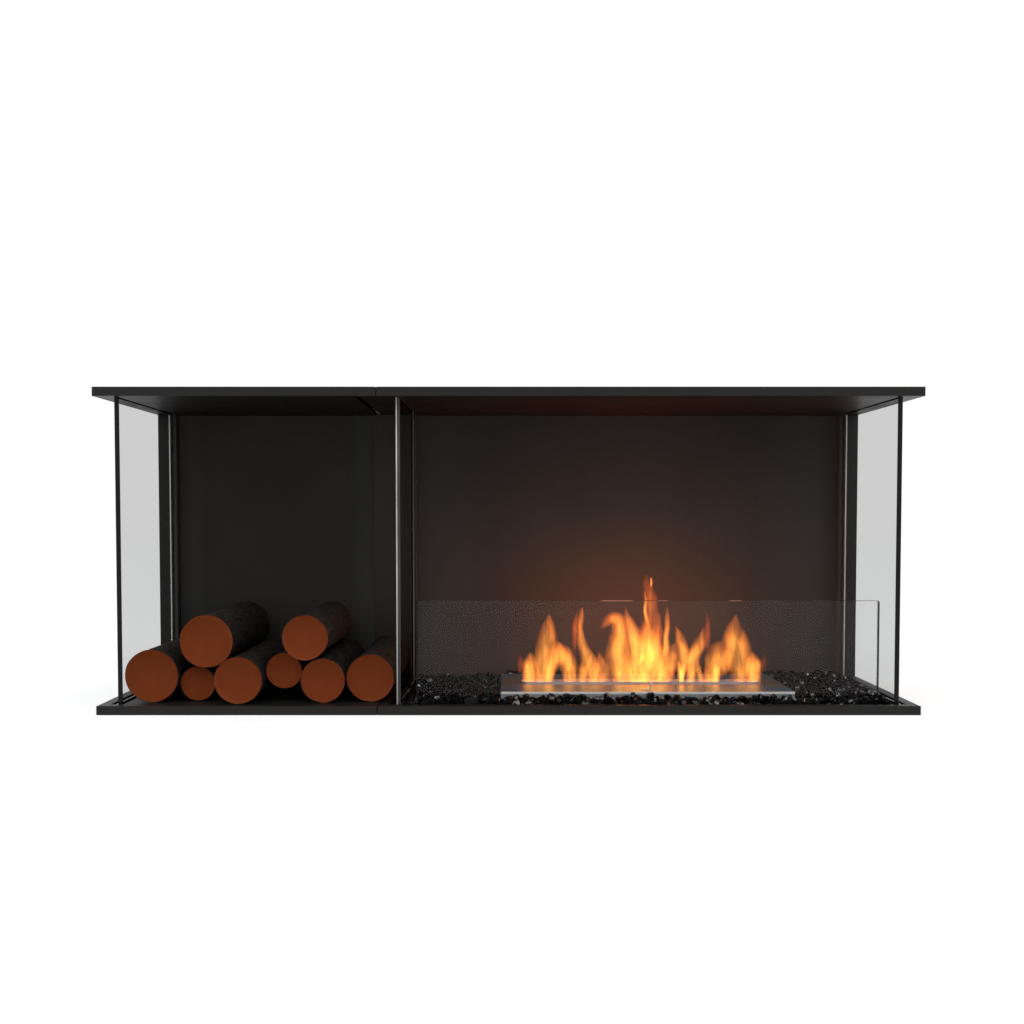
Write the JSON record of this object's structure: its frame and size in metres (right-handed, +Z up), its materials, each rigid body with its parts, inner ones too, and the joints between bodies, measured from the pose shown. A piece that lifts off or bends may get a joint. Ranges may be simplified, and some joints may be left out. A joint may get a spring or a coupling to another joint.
{
  "type": "bioethanol fireplace insert",
  "caption": "Wide black steel hearth insert: a log box and a glass-sided firebox with a regulated ethanol burner, a low front windscreen and a bed of black glass stones.",
  "frame": {"origin": "middle of the base on the ground, under the middle of the whole insert", "axes": "+X to the right along the front, +Y to the rear, +Z up; the open front faces -Y"},
  "size_m": [1.35, 0.45, 0.535],
  "materials": {
    "black_steel": "matt black powder coat",
    "lining_steel": "matt black heat-resistant paint",
    "pad_rubber": "matt",
    "zinc_steel": "zinc plated",
    "fibre_board": "matt fibre board",
    "clear_glass": "clear toughened glass",
    "seal_rubber": "matt black",
    "burner_steel": "satin stainless",
    "wick_fibre": "matt ceramic fibre",
    "log_wood": "sawn ends with dark bark",
    "stone_glass": "opaque black, glossy, broken"
  },
  "bodies": {
    "casing": {"log_box_tray": "black_steel", "log_box_pads": "pad_rubber", "log_box_floor": "black_steel", "log_box_left_post": "black_steel", "log_box_right_post": "black_steel", "log_box_back_panel": "lining_steel", "log_box_rear_skin": "black_steel", "log_box_soffit": "lining_steel", "log_box_top_pan": "black_steel", "log_box_top_rails": "zinc_steel", "firebox_tray": "black_steel", "firebox_pads": "pad_rubber", "firebox_left_post": "black_steel", "firebox_right_post": "black_steel", "firebox_back_panel": "lining_steel", "firebox_rear_skin": "black_steel", "firebox_soffit": "lining_steel", "firebox_top_pan": "black_steel", "firebox_top_rails": "zinc_steel", "firebox_insulation": "fibre_board", "log_box_glass": "clear_glass", "divider_glass": "clear_glass", "right_glass": "clear_glass", "floor_channels": "black_steel", "post_channels": "black_steel", "setting_blocks": "seal_rubber", "glass_gaskets": "seal_rubber", "windscreen_feet": "burner_steel", "windscreen_liners": "seal_rubber", "burner_cradle": "black_steel", "joining_bolts": "zinc_steel", "joining_nuts": "zinc_steel", "base_screws": "zinc_steel", "top_screws": "zinc_steel", "panel_screws": "zinc_steel", "skin_screws": "zinc_steel", "log_1": "log_wood", "log_2": "log_wood", "log_3": "log_wood", "log_4": "log_wood", "log_5": "log_wood", "log_6": "log_wood", "log_7": "log_wood", "log_8": "log_wood", "stones_front": "stone_glass", "stones_left": "stone_glass", "stones_right": "stone_glass", "stones_back": "stone_glass"},
    "windscreen": {"windscreen": "clear_glass"},
    "burner": {"burner_tank": "burner_steel", "burner_deck": "burner_steel", "baffle_plate": "burner_steel", "guide_rails": "burner_steel", "guide_rivets": "burner_steel", "deck_screws": "burner_steel", "wick_block": "wick_fibre"},
    "regulator": {"regulator_slide": "burner_steel"}
  },
  "joints": [
    {"name": "windscreen_lift", "type": "slide", "parent": "casing", "child": "windscreen", "axis": [0, 0, 1], "range_m": [0, 0.15]},
    {"name": "burner_lift", "type": "slide", "parent": "casing", "child": "burner", "axis": [0, 0, 1], "range_m": [0, 0.15]},
    {"name": "regulator_travel", "type": "slide", "parent": "burner", "child": "regulator", "axis": [-1, 0, 0], "range_m": [0, 0.015]}
  ]
}
